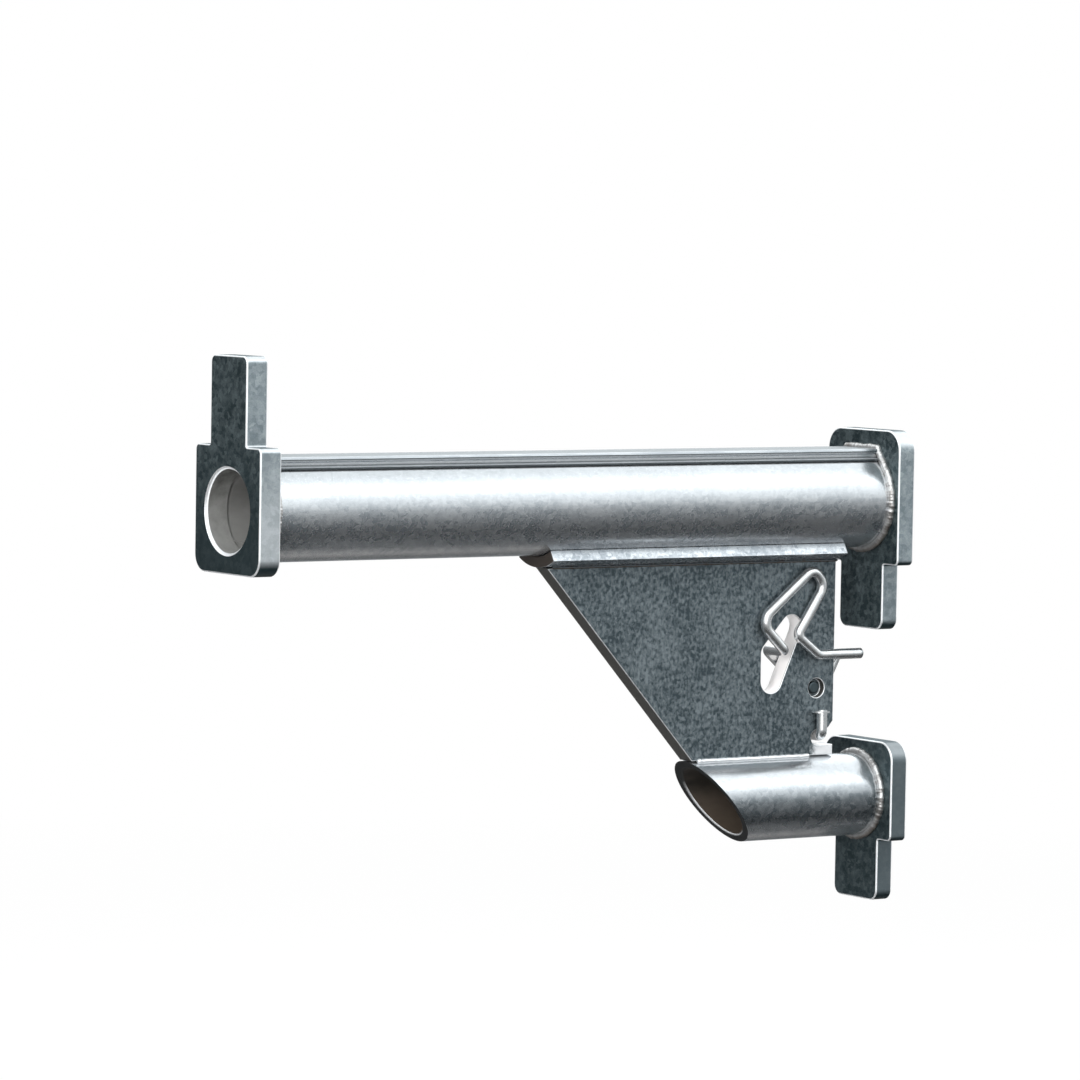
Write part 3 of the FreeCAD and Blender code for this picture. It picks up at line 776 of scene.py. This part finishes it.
class BRACKET_OT_set_studio(bpy.types.Operator):
    """Sets the floor, the soft lamps, the surround and the camera"""
    bl_idname = "bracket.set_studio"
    bl_label = "Set the studio"

    def execute(self, context):
        studio = context.scene.bracket_studio
        self.floor(studio)
        self.surround(context.scene, studio.azimuth)
        self.lamps(studio)
        self.camera(context.scene, studio)
        context.scene.view_settings.view_transform = "Standard"
        return {"FINISHED"}

    def floor(self, studio):
        alone()
        bpy.ops.mesh.primitive_plane_add(size=FLOOR_SIZE, location=(0, 0, cad_low.z - studio.floor_drop))
        floor = bpy.context.object
        floor.name = "floor"
        floor.visible_glossy = False
        material, finish = new_finish("floor_white")
        far = finish.vector_maths("DISTANCE", finish.coordinate(), (0.0, 0.0, 0.0))
        fade = finish.fade(far, studio.fade / 4, studio.fade)
        paper = finish.node("ShaderNodeBsdfDiffuse", None, {"Color": (0.92, 0.92, 0.92, 1.0)})
        glow = finish.node("ShaderNodeEmission", None, {"Color": (1, 1, 1, 1), "Strength": 1.0})
        seen = finish.node("ShaderNodeLightPath", out="Is Camera Ray")
        both = finish.node("ShaderNodeMixShader", None, {0: seen * (fade * 0.08 + 0.92), 1: paper, 2: glow})
        finish.node("ShaderNodeOutputMaterial", None, {"Surface": both})
        floor.data.materials.append(material)

    def surround(self, scene, azimuth):
        """White behind, and for the zinc to mirror a studio that is bright above and dark below, with a light
        panel on the camera's side and a dark card behind, beyond the outer plate."""
        world = bpy.data.worlds.new("studio_white")
        scene.world = world
        world.use_nodes = True
        finish = Finish(world.node_tree)
        direction = finish.coordinate("Generated")
        behind, height = finish.parts(direction)[1:]
        glow = [(place, tuple(tint * tone for tint in GLOW_TINT)) for place, tone in GLOW]
        studio = finish.ramp(height * 0.5 + 0.5, *glow)
        rear_floor = finish.fade(behind, 0.05, 0.35) * finish.fade(height, -0.55, -0.8)
        studio = finish.mix(rear_floor, studio, REAR_FLOOR)
        card = finish.fade(finish.vector_maths("DOT_PRODUCT", direction, CARD_SIDE), 0.45, 0.78)
        studio = finish.mix(card * 0.85, studio, DARK_CARD)
        camera_side = (-math.cos(azimuth), -math.sin(azimuth), 0.0)
        panel = finish.fade(finish.vector_maths("DOT_PRODUCT", direction, camera_side), 0.86, 0.93)
        panel = panel * finish.fade(height, -0.15, -0.09)
        studio = finish.mix(panel, studio, WHITE)
        studio = finish.node("ShaderNodeVectorMath", {"operation": "SCALE"},
                             {0: studio, "Scale": GLOW_STRENGTH})
        rays = ("Is Camera Ray", "Is Glossy Ray", "Is Transmission Ray")
        camera_ray, glossy_ray, clear_ray = [finish.node("ShaderNodeLightPath", out=ray) for ray in rays]
        plain = finish.mix(glossy_ray + clear_ray, SOFT_FILL, studio)
        seen = finish.mix(camera_ray, plain, WHITE)
        light = finish.node("ShaderNodeBackground", None, {"Color": seen, "Strength": 1.0})
        finish.node("ShaderNodeOutputWorld", None, {"Surface": light})

    def lamps(self, studio):
        """Four soft lamps: each one's place from the bracket's middle, its width, its depth and its power."""
        centre = (cad_low + cad_high) / 2
        plan = (("top_lamp", Vector((0.45, -0.75, 1.35)), 1.5, 0.55, studio.lamp_power),
                ("side_lamp", Vector((-1.3, -0.9, 0.75)), 0.9, 0.9, studio.lamp_power * 0.22),
                ("back_lamp", Vector((0.9, 1.3, 0.9)), 1.2, 0.6, studio.lamp_power * 0.4),
                ("bore_lamp", Vector((-1.25, -0.75, 0.25)), 0.35, 0.35, studio.lamp_power * 0.25))
        for name, offset, width, depth, power in plan:
            alone()
            bpy.ops.object.light_add(type="AREA", location=centre + offset)
            lamp = bpy.context.object
            lamp.name = name
            lamp.data.shape = "RECTANGLE"
            lamp.data.size = width
            lamp.data.size_y = depth
            lamp.data.energy = power
            lamp.visible_glossy = False
            lamp.rotation_euler = (-offset).to_track_quat("-Z", "Y").to_euler()

    def camera(self, scene, studio):
        level = math.cos(studio.elevation)
        ahead = Vector((math.cos(studio.azimuth) * level, math.sin(studio.azimuth) * level,
                        -math.sin(studio.elevation)))
        right = ahead.cross(Vector((0, 0, 1))).normalized()
        up = right.cross(ahead)
        turn = Matrix.Rotation(-studio.roll, 3, ahead)
        right, up = turn @ right, turn @ up
        data = bpy.data.cameras.new("view_camera")
        data.lens = studio.lens
        data.sensor_width = SENSOR_WIDTH
        data.shift_x, data.shift_y = CAMERA_SHIFT
        data.clip_start = 0.1
        data.clip_end = 100.0
        camera = bpy.data.objects.new("view_camera", data)
        scene.collection.objects.link(camera)
        turned = Matrix((right, up, -ahead)).transposed().to_4x4()
        camera.matrix_world = Matrix.Translation(AIM - ahead * studio.distance) @ turned
        scene.camera = camera


OPERATORS = (BRACKET_OT_finish_tubes, BRACKET_OT_finish_plates, BRACKET_OT_finish_gusset,
             BRACKET_OT_finish_wires, BRACKET_OT_lay_ring_welds, BRACKET_OT_lay_gusset_welds,
             BRACKET_OT_set_studio)


class BRACKET_PT_sidebar(bpy.types.Panel):
    """Lists the bracket's settings and steps"""
    bl_idname = "BRACKET_PT_sidebar"
    bl_label = "Scaffold board bracket"
    bl_space_type = "VIEW_3D"
    bl_region_type = "UI"
    bl_category = "Bracket"

    def draw(self, context):
        for key in GROUPS:
            group = getattr(context.scene, key)
            box = self.layout.box()
            for setting in group.__annotations__:
                box.prop(group, setting)
        for operator in OPERATORS:
            self.layout.operator(operator.bl_idname)


GROUPS = {"bracket_finishes": BracketFinishes, "bracket_welds": BracketWelds, "bracket_studio": BracketStudio}
CLASSES = tuple(GROUPS.values()) + OPERATORS + (BRACKET_PT_sidebar,)


def register():
    for item in CLASSES:
        bpy.utils.register_class(item)
    for key, group in GROUPS.items():
        setattr(bpy.types.Scene, key, PointerProperty(type=group))


def unregister():
    for key in GROUPS:
        delattr(bpy.types.Scene, key)
    for item in reversed(CLASSES):
        bpy.utils.unregister_class(item)


def main():
    register()
    bpy.ops.bracket.finish_tubes()
    bpy.ops.bracket.finish_plates()
    bpy.ops.bracket.finish_gusset()
    bpy.ops.bracket.finish_wires()
    bpy.ops.bracket.lay_ring_welds()
    bpy.ops.bracket.lay_gusset_welds()
    bpy.ops.bracket.set_studio()


if __name__ == "__main__":
    main()
